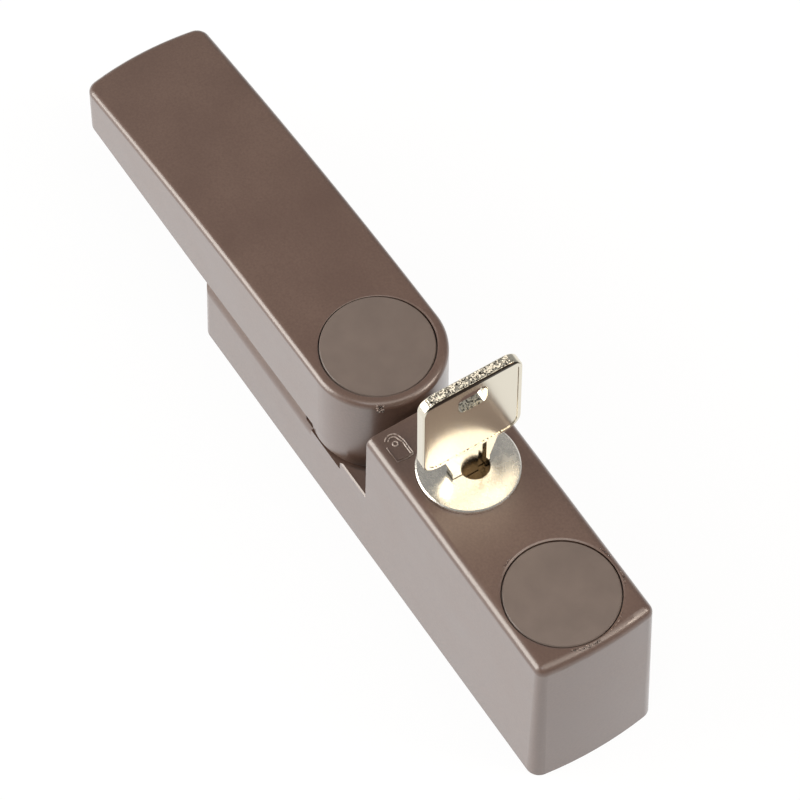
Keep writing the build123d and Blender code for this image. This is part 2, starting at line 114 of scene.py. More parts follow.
def linear(hex_colour):
    """An sRGB hex colour as linear RGBA."""
    parts = [int(hex_colour[i : i + 2], 16) / 255 for i in (0, 2, 4)]
    levels = [c / 12.92 if c <= 0.04045 else ((c + 0.055) / 1.055) ** 2.4 for c in parts]
    return (*levels, 1.0)


def colour(name, description, hex_colour):
    return FloatVectorProperty(
        name=name,
        description=description,
        subtype="COLOR",
        size=4,
        min=0,
        max=1,
        default=linear(hex_colour),
    )


def length(name, description, millimetres):
    return FloatProperty(
        name=name, description=description, unit="LENGTH", precision=5, default=millimetres * MM
    )


def angle(name, description, degrees):
    return FloatProperty(
        name=name, description=description, subtype="ANGLE", default=radians(degrees)
    )


def power(name, description, watts):
    return FloatProperty(name=name, description=description, unit="POWER", default=watts)


class LockFinishes(bpy.types.PropertyGroup):
    """Colours of the finishes."""

    coat: colour("Casting coat", "Satin brown coat on the body and the arm", "533f36")
    coat_light: colour("Coat, light patches", "Where the coat lies a little thinner", "5d493f")
    # Painted highlight on the ridges of the sign, and painted glints on the casting flash
    coat_highlight: colour("Coat, rubbed", "Coat rubbed pale on the ridges of the sign", "a6968d")
    # Painted shade in the pits and on the dark facets of the casting flash
    coat_painted_shade: colour("Coat, torn", "Dark pits in casting flash", "2b211c")
    cap: colour("Cover caps", "Moulded brown plastic of the two caps", "675c56")
    nickel: colour("Nickel", "Nickel plate on the key", "e3dccb")
    nickel_face: colour("Nickel, lock face", "Nickel plate on the turned lock face", "e8e4db")
    # Painted shade: dark colours for the shade inside the keyway and on the floor of the round
    # recess
    keyway: colour("Keyway", "Oiled brass inside the keyway", "33261a")
    recess: colour("Keyway recess", "Thin plate on the floor of the round recess", "4c3f2e")
    # Painted glints on the facets of the torn grains on the bow
    nickel_painted_glint: colour("Nickel, torn", "Bright facets on the sheared edge of the bow", "f1ead8")
    nickel_dull: colour("Nickel, sheared", "Dull nickel on the sheared edge of the bow", "ece5d3")
    # Painted shade: a dark reflection along the bow's top edge, shade in pits of its sheared top,
    # and dark facets of its torn grains
    nickel_painted_shade: colour(
        "Nickel, rolled edge", "Dark nickel where the bow's top edge is rolled over", "3a322a"
    )
    brass: colour("Brass", "Turned brass inside the lock", "c9a862")
    steel: colour("Steel", "Zinc-plated and hardened steel parts", "b9bcbe")
    glide: colour("Glide ring", "White acetal ring under the hub", "e6e4dc")


class SignSizes(bpy.types.PropertyGroup):
    """The raised padlock sign on the lock block."""

    centre_x: length("Centre X", "Middle of the keyhole along the body", 19.55)
    centre_y: length("Centre Y", "Middle of the keyhole across the body", -8.6)
    arch_radius: length("Shackle radius", "Outer line of the shackle", 1.6)
    band: length("Band", "From the outer to the inner line of the shackle", 0.6)
    case_length: length("Case length", "From the keyhole to the bottom of the case", 3.5)
    keyhole_radius: length("Keyhole radius", "Middle line of the keyhole ring", 0.5)
    stroke: length("Stroke width", "Width of the raised lines", 0.3)
    relief: length("Relief", "Height of the raised lines", 0.2)


class EdgeGrainSizes(bpy.types.PropertyGroup):
    """Grains and flecks where metal was sheared or broken off."""

    grain: length("Shear grain", "Size of a grain on the sheared edge of the bow", 0.3)
    fleck: length("Casting fleck", "Size of a fleck of casting flash", 0.17)
    seed: IntProperty(name="Seed", description="Seed of the scatter", default=4, min=0)


class StudioSettings(bpy.types.PropertyGroup):
    """Camera and light."""

    azimuth: angle("Azimuth", "Direction of the camera round the part", 57.29382)
    elevation: angle("Elevation", "Height of the camera above the floor", 59.36087)
    distance: length(
        "Distance", "From the camera to the plane through the frame's origin", 1064.36
    )
    slide_right: length("Slide right", "Camera's slide along the picture", 4.2009)
    slide_up: length("Slide up", "Camera's slide up the picture", 10.3632)
    lens: FloatProperty(
        name="Lens", description="Focal length", subtype="DISTANCE_CAMERA", default=246.406
    )
    softbox: power("Softbox", "Power of the softbox overhead", 3.4)
    window: power("Window", "Power of the large light on the left", 13.4)
    front_light: power("Front light", "Power of the small light by the camera", 0.9)
    rim_light: power("Rim light", "Power of the light on the right", 3.6)
    room: FloatProperty(
        name="Room light", description="Strength of the light from all round", default=0.38
    )
    ceiling: FloatProperty(
        name="Ceiling", description="Brightness of the ceiling in reflections", default=0.32
    )


def set_inputs(tree, node, inputs):
    """Sets a node's inputs; each is a value or a socket to link."""
    for socket, value in inputs.items():
        if isinstance(value, bpy.types.NodeSocket):
            tree.links.new(value, node.inputs[socket])
        else:
            node.inputs[socket].default_value = value


def add(tree, kind, inputs=None, **settings):
    """Adds a node with its settings and inputs."""
    node = tree.nodes.new(kind)
    for name, value in settings.items():
        setattr(node, name, value)
    set_inputs(tree, node, inputs or {})
    return node


def new_material(name):
    """An empty material with its node tree and its main shader."""
    material = bpy.data.materials.new(name)
    material.use_nodes = True
    tree = material.node_tree
    return material, tree, tree.nodes["Principled BSDF"]


def dress(material, *names):
    """Gives CAD nodes their finish."""
    for name in names:
        for slot in frame["nodes"][name].material_slots:
            slot.material = material


def powder_coated_zinc(look):
    """Satin powder coat on a die casting: soft reflections broken by a fine orange peel."""
    material, tree, shader = new_material("powder_coated_zinc")
    place = add(tree, "ShaderNodeTexCoord").outputs["Object"]
    patches = add(
        tree, "ShaderNodeTexNoise", {"Vector": place, "Scale": 1 / (14 * MM), "Detail": 4.0}
    )
    # The grit of the powder is finer; it is drawn as coarse as it needs to show
    grit = add(
        tree, "ShaderNodeTexNoise", {"Vector": place, "Scale": 1 / (0.45 * MM), "Detail": 2.0}
    )
    mixed = add(
        tree,
        "ShaderNodeMath",
        {0: patches.outputs["Fac"], 1: grit.outputs["Fac"]},
        operation="MULTIPLY",
    )
    tone = add(
        tree,
        "ShaderNodeMapRange",
        {"Value": mixed.outputs[0], "From Min": 0.12, "From Max": 0.4},
    )
    paint = add(
        tree,
        "ShaderNodeMix",
        {MIX_SHARE: tone.outputs[0], MIX_FIRST: look.coat, MIX_SECOND: look.coat_light},
        data_type="RGBA",
    )
    gloss = add(
        tree,
        "ShaderNodeMapRange",
        {
            "Value": patches.outputs["Fac"],
            "From Min": 0.3,
            "From Max": 0.7,
            "To Min": 0.34,
            "To Max": 0.42,
        },
    )
    peel = add(
        tree, "ShaderNodeTexNoise", {"Vector": place, "Scale": 1 / (0.7 * MM), "Detail": 1.5}
    )
    bump = add(
        tree,
        "ShaderNodeBump",
        {"Height": peel.outputs["Fac"], "Strength": 0.2, "Distance": 0.06 * MM},
    )
    set_inputs(
        tree,
        shader,
        {
            "Base Color": paint.outputs[MIX_RESULT],
            "Roughness": gloss.outputs[0],
            "Normal": bump.outputs[0],
            "Coat Weight": 1.0,
            "Coat Roughness": 0.27,
        },
    )
    return material


def rubbed_powder_coat(look):
    """Powder coat on narrow ridges: painted pale as a highlight where the ridge is full, and a
    little smoother.
    """
    material, tree, shader = new_material("rubbed_powder_coat")
    place = add(tree, "ShaderNodeTexCoord").outputs["Object"]
    # Painted highlight where the ridge is full, broken up by noise
    ridge = add(tree, "ShaderNodeAttribute", attribute_name="stroke_share")
    full = add(
        tree,
        "ShaderNodeMapRange",
        {"Value": ridge.outputs["Fac"], "From Min": 0.5, "From Max": 1.0},
    )
    highlight_noise = add(
        tree, "ShaderNodeTexNoise", {"Vector": place, "Scale": 1 / (0.5 * MM), "Detail": 2.0}
    )
    highlit = add(
        tree,
        "ShaderNodeMapRange",
        {"Value": highlight_noise.outputs["Fac"], "From Min": 0.3, "From Max": 0.5},
    )
    share = add(
        tree, "ShaderNodeMath", {0: full.outputs[0], 1: highlit.outputs[0]}, operation="MULTIPLY"
    )
    paint = add(
        tree,
        "ShaderNodeMix",
        {MIX_SHARE: share.outputs[0], MIX_FIRST: look.coat_light, MIX_SECOND: look.coat_highlight},
        data_type="RGBA",
    )
    set_inputs(
        tree,
        shader,
        {
            "Base Color": paint.outputs[MIX_RESULT],
            "Roughness": 0.34,
            "Coat Weight": 1.0,
            "Coat Roughness": 0.22,
        },
    )
    return material


def moulded_cap_plastic(look, name, axis):
    """Injection-moulded plastic from a sparked mould: matt, with a slight crown in the middle."""
    material, tree, shader = new_material(name)
    place = add(tree, "ShaderNodeTexCoord").outputs["Object"]
    cloud = add(
        tree, "ShaderNodeTexNoise", {"Vector": place, "Scale": 1 / (5 * MM), "Detail": 3.0}
    )
    # The sparked grain is finer; it is drawn as coarse as it needs to show
    grain = add(
        tree, "ShaderNodeTexNoise", {"Vector": place, "Scale": 1 / (0.3 * MM), "Detail": 2.0}
    )
    shade = add(
        tree,
        "ShaderNodeMapRange",
        {
            "Value": cloud.outputs["Fac"],
            "From Min": 0.3,
            "From Max": 0.7,
            "To Min": 0.92,
            "To Max": 1.06,
        },
    )
    tint = add(
        tree,
        "ShaderNodeVectorMath",
        {0: look.cap[:3], "Scale": shade.outputs[0]},
        operation="SCALE",
    )
    centred = add(
        tree,
        "ShaderNodeMapping",
        {"Vector": place, "Location": (-axis.x, -axis.y, 0), "Scale": (1, 1, 0)},
    )
    out = add(
        tree,
        "ShaderNodeVectorMath",
        {0: centred.outputs[0], 1: centred.outputs[0]},
        operation="DOT_PRODUCT",
    )
    crown = add(
        tree, "ShaderNodeMath", {0: out.outputs["Value"], 1: CAP_CROWN}, operation="MULTIPLY"
    )
    dome = add(
        tree, "ShaderNodeBump", {"Height": crown.outputs[0], "Strength": 1.0, "Distance": 1.0}
    )
    bump = add(
        tree,
        "ShaderNodeBump",
        {
            "Height": grain.outputs["Fac"],
            "Strength": 0.15,
            "Distance": 0.05 * MM,
            "Normal": dome.outputs[0],
        },
    )
    set_inputs(
        tree,
        shader,
        {"Base Color": tint.outputs[0], "Roughness": 0.38, "Normal": bump.outputs[0]},
    )
    return material


def plated_key_nickel(look):
    """Nickel plate on a blanked key: bright faces, painted shade along the top edge and in pits, a
    rough sheared top.
    """
    material, tree, shader = new_material("plated_key_nickel")
    coords = add(tree, "ShaderNodeTexCoord")
    place = coords.outputs["Object"]
    facing = add(tree, "ShaderNodeSeparateXYZ", {0: coords.outputs["Normal"]})
    sheared = add(
        tree,
        "ShaderNodeMapRange",
        {"Value": facing.outputs["Z"], "From Min": 0.9, "From Max": 0.97},
    )
    # Painted shade for a dark reflection: where the front turns over to the top, and a narrow
    # strip below it
    corner = (sin(radians(50)), 0, cos(radians(50)))
    toward_edge = add(
        tree,
        "ShaderNodeVectorMath",
        {0: coords.outputs["Normal"], 1: corner},
        operation="DOT_PRODUCT",
    )
    edge_shade = add(
        tree,
        "ShaderNodeMapRange",
        {"Value": toward_edge.outputs["Value"], "From Min": 0.8, "From Max": 0.9},
    )
    height = add(tree, "ShaderNodeSeparateXYZ", {0: place}).outputs["Z"]
    band = add(
        tree,
        "ShaderNodeMapRange",
        {
            "Value": height,
            "From Min": key_high.z - 0.95 * MM,
            "From Max": key_high.z - 0.8 * MM,
        },
    )
    front = add(
        tree,
        "ShaderNodeMapRange",
        {"Value": facing.outputs["X"], "From Min": 0.6, "From Max": 0.8},
    )
    strip = add(
        tree, "ShaderNodeMath", {0: band.outputs[0], 1: front.outputs[0]}, operation="MULTIPLY"
    )
    rolled = add(
        tree, "ShaderNodeMath", {0: edge_shade.outputs[0], 1: strip.outputs[0]}, operation="MAXIMUM"
    )
    # Polishing lines run up the key; they are drawn as coarse as they need to show
    drawn = add(tree, "ShaderNodeMapping", {"Vector": place, "Scale": (1, 1, 0.06)})
    lines = add(
        tree,
        "ShaderNodeTexNoise",
        {"Vector": drawn.outputs[0], "Scale": 1 / (0.25 * MM), "Detail": 2.0},
    )
    shear = add(
        tree, "ShaderNodeTexNoise", {"Vector": place, "Scale": 1 / (0.4 * MM), "Detail": 3.0}
    )
    rough = add(
        tree, "ShaderNodeMapRange", {"Value": sheared.outputs[0], "To Min": 0.16, "To Max": 0.24}
    )
    metal = add(
        tree,
        "ShaderNodeMix",
        {MIX_SHARE: sheared.outputs[0], MIX_FIRST: look.nickel, MIX_SECOND: look.nickel_dull},
        data_type="RGBA",
    )
    # Painted shade in pits of the sheared top
    pits = add(
        tree,
        "ShaderNodeMapRange",
        {"Value": shear.outputs["Fac"], "From Min": 0.5, "From Max": 0.42},
    )
    pit_shade = add(
        tree, "ShaderNodeMath", {0: pits.outputs[0], 1: sheared.outputs[0]}, operation="MULTIPLY"
    )
    dark = add(
        tree, "ShaderNodeMath", {0: pit_shade.outputs[0], 1: rolled.outputs[0]}, operation="MAXIMUM"
    )
    shaded_metal = add(
        tree,
        "ShaderNodeMix",
        {
            MIX_SHARE: dark.outputs[0],
            MIX_FIRST: metal.outputs[MIX_RESULT],
            MIX_SECOND: look.nickel_painted_shade,
        },
        data_type="RGBA",
    )
    torn = add(
        tree,
        "ShaderNodeMath",
        {0: shear.outputs["Fac"], 1: sheared.outputs[0]},
        operation="MULTIPLY",
    )
    fine = add(
        tree,
        "ShaderNodeBump",
        {"Height": lines.outputs["Fac"], "Strength": 0.05, "Distance": 0.02 * MM},
    )
    bump = add(
        tree,
        "ShaderNodeBump",
        {
            "Height": torn.outputs[0],
            "Strength": 0.9,
            "Distance": 0.12 * MM,
            "Normal": fine.outputs[0],
        },
    )
    set_inputs(
        tree,
        shader,
        {
            "Base Color": shaded_metal.outputs[MIX_RESULT],
            "Metallic": 1.0,
            "Roughness": rough.outputs[0],
            "Normal": bump.outputs[0],
        },
    )
    return material


def torn_metal(name, dark, bright, bright_share, facet, metallic):
    """Metal torn off, as at a shear or a casting gate: facets side by side, pale ones painted as
    glints and dark ones painted as shade.
    """
    material, tree, shader = new_material(name)
    place = add(tree, "ShaderNodeTexCoord").outputs["Object"]
    facets = add(tree, "ShaderNodeTexVoronoi", {"Vector": place, "Scale": 1 / facet})
    shade = add(tree, "ShaderNodeSeparateColor", {0: facets.outputs["Color"]})
    split, blend = 1 - bright_share, 0.06
    share = add(
        tree,
        "ShaderNodeMapRange",
        {"Value": shade.outputs[0], "From Min": split - blend, "From Max": split + blend},
    )
    tint = add(
        tree,
        "ShaderNodeMix",
        {MIX_SHARE: share.outputs[0], MIX_FIRST: dark, MIX_SECOND: bright},
        data_type="RGBA",
    )
    rough = add(
        tree, "ShaderNodeMapRange", {"Value": shade.outputs[1], "To Min": 0.2, "To Max": 0.45}
    )
    set_inputs(
        tree,
        shader,
        {
            "Base Color": tint.outputs[MIX_RESULT],
            "Metallic": metallic,
            "Roughness": rough.outputs[0],
        },
    )
    return material


def turned_face_nickel(look):
    """Nickel plate on a face turned on a lathe: fine rings stretch reflections across them."""
    material, tree, shader = new_material("turned_face_nickel")
    coords = add(tree, "ShaderNodeTexCoord")
    place = coords.outputs["Object"]
    centred = add(
        tree,
        "ShaderNodeMapping",
        {"Vector": place, "Location": (-plug_axis.x, -plug_axis.y, 0)},
    )
    # Turning marks are finer; they are drawn as coarse as they need to show
    spacing = 0.24 * MM
    rings = add(
        tree,
        "ShaderNodeTexWave",
        {
            "Vector": centred.outputs[0],
            "Scale": 2 * pi / (20 * spacing),
            "Distortion": 0.6,
            "Detail": 1.0,
        },
        wave_type="RINGS",
        rings_direction="Z",
    )
    stain = add(
        tree, "ShaderNodeTexNoise", {"Vector": place, "Scale": 1 / (1.2 * MM), "Detail": 5.0}
    )
    rough = add(
        tree,
        "ShaderNodeMapRange",
        {
            "Value": stain.outputs["Fac"],
            "From Min": 0.3,
            "From Max": 0.7,
            "To Min": 0.2,
            "To Max": 0.32,
        },
    )
    bump = add(
        tree,
        "ShaderNodeBump",
        {"Height": rings.outputs["Fac"], "Strength": 0.12, "Distance": 0.02 * MM},
    )
    tangent = add(tree, "ShaderNodeTangent", direction_type="RADIAL", axis="Z")
    # The keyway and the round recess, painted dark as their shade: below the face and near the
    # middle
    level = add(tree, "ShaderNodeSeparateXYZ", {0: place}).outputs["Z"]
    deep = add(
        tree,
        "ShaderNodeMapRange",
        {
            "Value": level,
            "From Min": plug_high.z - 0.45 * MM,
            "From Max": plug_high.z - 0.7 * MM,
        },
    )
    flat = add(
        tree, "ShaderNodeVectorMath", {0: centred.outputs[0], 1: (1, 1, 0)}, operation="MULTIPLY"
    )
    reach = add(tree, "ShaderNodeVectorMath", {0: flat.outputs[0]}, operation="LENGTH")
    inner = add(
        tree, "ShaderNodeMath", {0: reach.outputs["Value"], 1: 6 * MM}, operation="LESS_THAN"
    )
    inside = add(
        tree, "ShaderNodeMath", {0: deep.outputs[0], 1: inner.outputs[0]}, operation="MULTIPLY"
    )
    upward = add(tree, "ShaderNodeSeparateXYZ", {0: coords.outputs["Normal"]}).outputs["Z"]
    bottom = add(tree, "ShaderNodeMath", {0: upward, 1: 0.9}, operation="GREATER_THAN")
    recess_shade = add(
        tree,
        "ShaderNodeMix",
        {MIX_SHARE: bottom.outputs[0], MIX_FIRST: look.keyway, MIX_SECOND: look.recess},
        data_type="RGBA",
    )
    plate = add(
        tree,
        "ShaderNodeMix",
        {
            MIX_SHARE: inside.outputs[0],
            MIX_FIRST: look.nickel_face,
            MIX_SECOND: recess_shade.outputs[MIX_RESULT],
        },
        data_type="RGBA",
    )
    set_inputs(
        tree,
        shader,
        {
            "Base Color": plate.outputs[MIX_RESULT],
            "Metallic": 1.0,
            "Roughness": rough.outputs[0],
            "Anisotropic": 0.6,
            "Tangent": tangent.outputs[0],
            "Normal": bump.outputs[0],
        },
    )
    return material


def machined_metal(name, tint, roughness, grain):
    """Plain turned or ground metal with a fine uneven grain, for the works inside."""
    material, tree, shader = new_material(name)
    place = add(tree, "ShaderNodeTexCoord").outputs["Object"]
    marks = add(
        tree, "ShaderNodeTexNoise", {"Vector": place, "Scale": 1 / grain, "Detail": 4.0}
    )
    rough = add(
        tree,
        "ShaderNodeMapRange",
        {
            "Value": marks.outputs["Fac"],
            "To Min": roughness * 0.8,
            "To Max": roughness * 1.25,
        },
    )
    bump = add(
        tree,
        "ShaderNodeBump",
        {"Height": marks.outputs["Fac"], "Strength": 0.06, "Distance": 0.03 * MM},
    )
    set_inputs(
        tree,
        shader,
        {
            "Base Color": tint,
            "Metallic": 1.0,
            "Roughness": rough.outputs[0],
            "Normal": bump.outputs[0],
        },
    )
    return material


def acetal(look):
    """White sliding plastic, waxy and smooth."""
    material, tree, shader = new_material("acetal")
    place = add(tree, "ShaderNodeTexCoord").outputs["Object"]
    cloud = add(
        tree, "ShaderNodeTexNoise", {"Vector": place, "Scale": 1 / (2 * MM), "Detail": 2.0}
    )
    rough = add(
        tree,
        "ShaderNodeMapRange",
        {"Value": cloud.outputs["Fac"], "To Min": 0.35, "To Max": 0.5},
    )
    set_inputs(tree, shader, {"Base Color": look.glide, "Roughness": rough.outputs[0]})
    return material


def piece_from_mesh(name, mesh, body):
    """Puts a finished mesh in the scene, riding on a body."""
    piece = bpy.data.objects.new(name, mesh)
    bpy.context.scene.collection.objects.link(piece)
    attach(piece, body)


def grown_mesh(name, base, tree, values):
    """Runs a node tree on a base mesh and returns the result as a plain mesh."""
    carrier = bpy.data.objects.new(name + "_carrier", base)
    bpy.context.scene.collection.objects.link(carrier)
    modifier = carrier.modifiers.new("grow", "NODES")
    modifier.node_group = tree
    for item in tree.interface.items_tree:
        if item.name in values:
            modifier[item.identifier] = values[item.name]
    carrier.update_tag()
    graph = bpy.context.evaluated_depsgraph_get()
    mesh = bpy.data.meshes.new_from_object(carrier.evaluated_get(graph))
    mesh.name = name
    carrier.modifiers.remove(modifier)
    bpy.data.objects.remove(carrier)
    if not mesh.polygons:
        raise RuntimeError(name + " came out empty")
    return mesh


def new_tree(name, sizes, counts=()):
    """A geometry tree with named inputs: sizes as decimal numbers, counts as whole ones."""
    tree = bpy.data.node_groups.new(name, "GeometryNodeTree")
    face = tree.interface
    face.new_socket("Geometry", in_out="INPUT", socket_type="NodeSocketGeometry")
    for label in sizes:
        face.new_socket(label, in_out="INPUT", socket_type="NodeSocketFloat")
    for label in counts:
        face.new_socket(label, in_out="INPUT", socket_type="NodeSocketInt")
    face.new_socket("Geometry", in_out="OUTPUT", socket_type="NodeSocketGeometry")
    return tree, add(tree, "NodeGroupInput").outputs


def end_tree(tree, geometry, material):
    """Closes a tree: real geometry with its finish."""
    real = add(tree, "GeometryNodeRealizeInstances", {0: geometry})
    done = add(
        tree, "GeometryNodeSetMaterial", {"Geometry": real.outputs[0], "Material": material}
    )
    add(tree, "NodeGroupOutput", {0: done.outputs[0]})


def arc(radius, turns, lift=0.0):
    """Points on a circle about the keyhole, or about a point above it."""
    return [(radius * cos(a), lift + radius * sin(a)) for a in turns]


def sign_paths(sign):
    """Middle lines of the sign as edges; each point carries its share of the full stroke."""
    arch, band, case = sign.arch_radius, sign.band, sign.case_length
    lift = 0.37 * arch
    edge_shade = [radians(a) for a in range(152, -1, -8)]
    ring = [radians(a) for a in range(0, 360, 15)]
    wide = 1.13 * arch
    slim = wide - 0.7 * band
    # Share of the stroke, then points across and along the sign
    lines = (
        (1.0, arc(arch, edge_shade, lift) + [(wide, 0), (wide, -0.96 * case)]),
        (1.0, arc(arch - band, edge_shade, lift) + [(slim, -0.08 * case)]),
        (1.0, [(slim, -0.14 * case), (slim, -0.94 * case)]),
        (0.6, [(wide, -case), (0, -1.07 * case), (-wide, -case)]),
        (0.45, [(slim, -0.95 * case), (0, -0.98 * case), (-slim, -0.89 * case)]),
        (0.45, [(-wide, -0.08 * case), (-wide, -case)]),
        (0.9, [(-wide, 0.02 * case), (-wide, -0.03 * case)]),
        (1.0, arc(sign.keyhole_radius, ring + ring[:1])),
    )
    mesh = bpy.data.meshes.new("sign_paths")
    shape = bmesh.new()
    layer = shape.verts.layers.float.new("stroke_share")
    for share, points in lines:
        row = []
        for across, along in points:
            vert = shape.verts.new((sign.centre_x - along, sign.centre_y + across, BLOCK_TOP))
            vert[layer] = share
            row.append(vert)
        for a, b in zip(row, row[1:]):
            shape.edges.new((a, b))
    bmesh.ops.remove_doubles(shape, verts=shape.verts, dist=1e-6)
    shape.to_mesh(mesh)
    shape.free()
    return mesh


def stroke_tree(material):
    """Sweeps an oval along each path, wider or narrower by the share of the stroke."""
    tree, given = new_tree("raised_strokes", ("Stroke width", "Relief"))
    curve = add(tree, "GeometryNodeMeshToCurve", {0: given["Geometry"]})
    upright = add(tree, "GeometryNodeSetCurveNormal", {0: curve.outputs[0]}, mode="Z_UP")
    share = add(
        tree, "GeometryNodeInputNamedAttribute", {"Name": "stroke_share"}, data_type="FLOAT"
    )
    sized = add(
        tree,
        "GeometryNodeSetCurveRadius",
        {"Curve": upright.outputs[0], "Radius": share.outputs[0]},
    )
    oval = add(tree, "GeometryNodeCurvePrimitiveCircle", {"Resolution": 12, "Radius": 1.0})
    half = add(tree, "ShaderNodeMath", {0: given["Stroke width"], 1: 0.5}, operation="MULTIPLY")
    size = add(
        tree, "ShaderNodeCombineXYZ", {"X": half.outputs[0], "Y": given["Relief"], "Z": 1.0}
    )
    profile = add(
        tree, "GeometryNodeTransform", {"Geometry": oval.outputs[0], "Scale": size.outputs[0]}
    )
    swept = add(
        tree,
        "GeometryNodeCurveToMesh",
        {"Curve": sized.outputs[0], "Profile Curve": profile.outputs[0], "Fill Caps": True},
    )
    smooth = add(
        tree, "GeometryNodeSetShadeSmooth", {"Geometry": swept.outputs[0], "Shade Smooth": True}
    )
    end_tree(tree, smooth.outputs[0], material)
    return tree


def grain_tree(material):
    """Scatters small faceted grains over a patch, each turned and sized at random."""
    tree, given = new_tree("scattered_grains", ("Grain size", "Density"), ("Seed",))
    spread = add(
        tree,
        "GeometryNodeDistributePointsOnFaces",
        {"Mesh": given["Geometry"], "Density": given["Density"], "Seed": given["Seed"]},
    )
    grain = add(
        tree, "GeometryNodeMeshIcoSphere", {"Radius": given["Grain size"], "Subdivisions": 1}
    )
    turn = add(
        tree,
        "FunctionNodeRandomValue",
        {0: (0, 0, 0), 1: (2 * pi, 2 * pi, 2 * pi), "Seed": given["Seed"]},
        data_type="FLOAT_VECTOR",
    )
    size = add(
        tree,
        "FunctionNodeRandomValue",
        {0: (0.4, 0.4, 0.2), 1: (1.3, 1.3, 0.55), "Seed": given["Seed"]},
        data_type="FLOAT_VECTOR",
    )
    placed = add(
        tree,
        "GeometryNodeInstanceOnPoints",
        {
            "Points": spread.outputs["Points"],
            "Instance": grain.outputs[0],
            "Rotation": turn.outputs[0],
            "Scale": size.outputs[0],
        },
    )
    end_tree(tree, placed.outputs[0], material)
    return tree


def patch_mesh(name, patches):
    """A mesh of separate patches, each given by its four corners."""
    mesh = bpy.data.meshes.new(name)
    faces = [tuple(range(4 * i, 4 * i + 4)) for i in range(len(patches))]
    mesh.from_pydata([corner for patch in patches for corner in patch], [], faces)
    return mesh


def sector_turns(first, last, steps):
    """Pairs of angles that divide a sector, given in degrees, into equal steps."""
    first, last = radians(first), radians(last)
    turns = [first + (last - first) * i / steps for i in range(steps + 1)]
    return list(zip(turns, turns[1:]))


def round_point(axis, radius, turn, height):
    """A point at a radius about an upright axis."""
    return axis.x + radius * cos(turn), axis.y + radius * sin(turn), height


def rim_patches():
    """Flat patches on the block's top, along parts of a ring about its cap."""
    return [
        [
            round_point(cap_axis, radius * MM, turn, BLOCK_TOP)
            for radius, turn in ((inner, a), (outer, a), (outer, b), (inner, b))
        ]
        for first, last, inner, outer in RIM_FLASH
        for a, b in sector_turns(first, last, RIM_STEPS)
    ]


def gate_patches():
    """Patches up the hub's wall and over its rounded edge."""
    return [
        [
            round_point(swing_axis, radius * MM, turn, height * MM)
            for (radius, height), turn in ((low, a), (low, b), (high, b), (high, a))
        ]
        for low, high in zip(GATE_PROFILE, GATE_PROFILE[1:])
        for a, b in sector_turns(*GATE_SECTOR, GATE_STEPS)
    ]


def shear_patch():
    """The torn strip on top of the bow."""
    turn = Matrix.Rotation(REST_TURN, 3, "Z")
    middle = Vector((plug_axis.x, plug_axis.y, key_high.z))
    corners = ((SHEAR_REAR, -1), (SHEAR_FRONT, -1), (SHEAR_FRONT, 1), (SHEAR_REAR, 1))
    return [middle + turn @ Vector((x, side * SHEAR_HALF_LENGTH, 0)) for x, side in corners]


class WINDOWLOCK_OT_castings(bpy.types.Operator):
    """Coat the body and the arm"""

    bl_idname = "window_lock.castings"
    bl_label = "Castings"

    def execute(self, context):
        dress(powder_coated_zinc(context.scene.lock_finishes), "lock_body", "swing_arm")
        return {"FINISHED"}


class WINDOWLOCK_OT_flash(bpy.types.Operator):
    """Leave flecks of flash round the block's cap and a gate mark on the hub"""

    bl_idname = "window_lock.flash"
    bl_label = "Casting flash"

    def execute(self, context):
        look, grains = context.scene.lock_finishes, context.scene.lock_grains
        # Dark facets are painted shade, pale ones are painted glints
        torn = torn_metal(
            "torn_zinc_flash",
            dark=look.coat_painted_shade,
            bright=look.coat_highlight,
            bright_share=0.45,
            facet=0.25 * MM,
            metallic=0.0,
        )
        tree = grain_tree(torn)
        sizes = {"Grain size": grains.fleck, "Density": FLECKS_PER_M2, "Seed": grains.seed}
        mesh = grown_mesh("rim_flash", patch_mesh("rim_patches", rim_patches()), tree, sizes)
        piece_from_mesh("rim_flash", mesh, "body")
        sizes["Grain size"] = GATE_FLECK * grains.fleck
        mesh = grown_mesh("gate_mark", patch_mesh("gate_patches", gate_patches()), tree, sizes)
        piece_from_mesh("gate_mark", mesh, "arm")
        return {"FINISHED"}


class WINDOWLOCK_OT_caps(bpy.types.Operator):
    """Finish the two cover caps"""

    bl_idname = "window_lock.caps"
    bl_label = "Cover caps"

    def execute(self, context):
        look = context.scene.lock_finishes
        dress(moulded_cap_plastic(look, "moulded_cap_plastic_arm", swing_axis), "arm_cap")
        dress(moulded_cap_plastic(look, "moulded_cap_plastic_block", cap_axis), "body_cap")
        return {"FINISHED"}


class WINDOWLOCK_OT_key(bpy.types.Operator):
    """Plate the key and roughen its sheared top edge"""

    bl_idname = "window_lock.key"
    bl_label = "Key"

    def execute(self, context):
        look, grains = context.scene.lock_finishes, context.scene.lock_grains
        dress(plated_key_nickel(look), "key")
        # Dark facets are painted shade, pale ones are painted glints
        torn = torn_metal(
            "fractured_nickel_brass",
            dark=look.nickel_painted_shade,
            bright=look.nickel_painted_glint,
            bright_share=0.86,
            facet=0.4 * MM,
            metallic=0.2,
        )
        mesh = grown_mesh(
            "key_sheared_edge",
            patch_mesh("shear_patch", [shear_patch()]),
            grain_tree(torn),
            {"Grain size": grains.grain, "Density": GRAINS_PER_M2, "Seed": grains.seed},
        )
        # The press leaves the torn grains almost level with the bow's top
        for vert in mesh.vertices:
            vert.co.z = min(vert.co.z, key_high.z + PRESSED * (vert.co.z - key_high.z))
        piece_from_mesh("key_sheared_edge", mesh, "key")
        return {"FINISHED"}


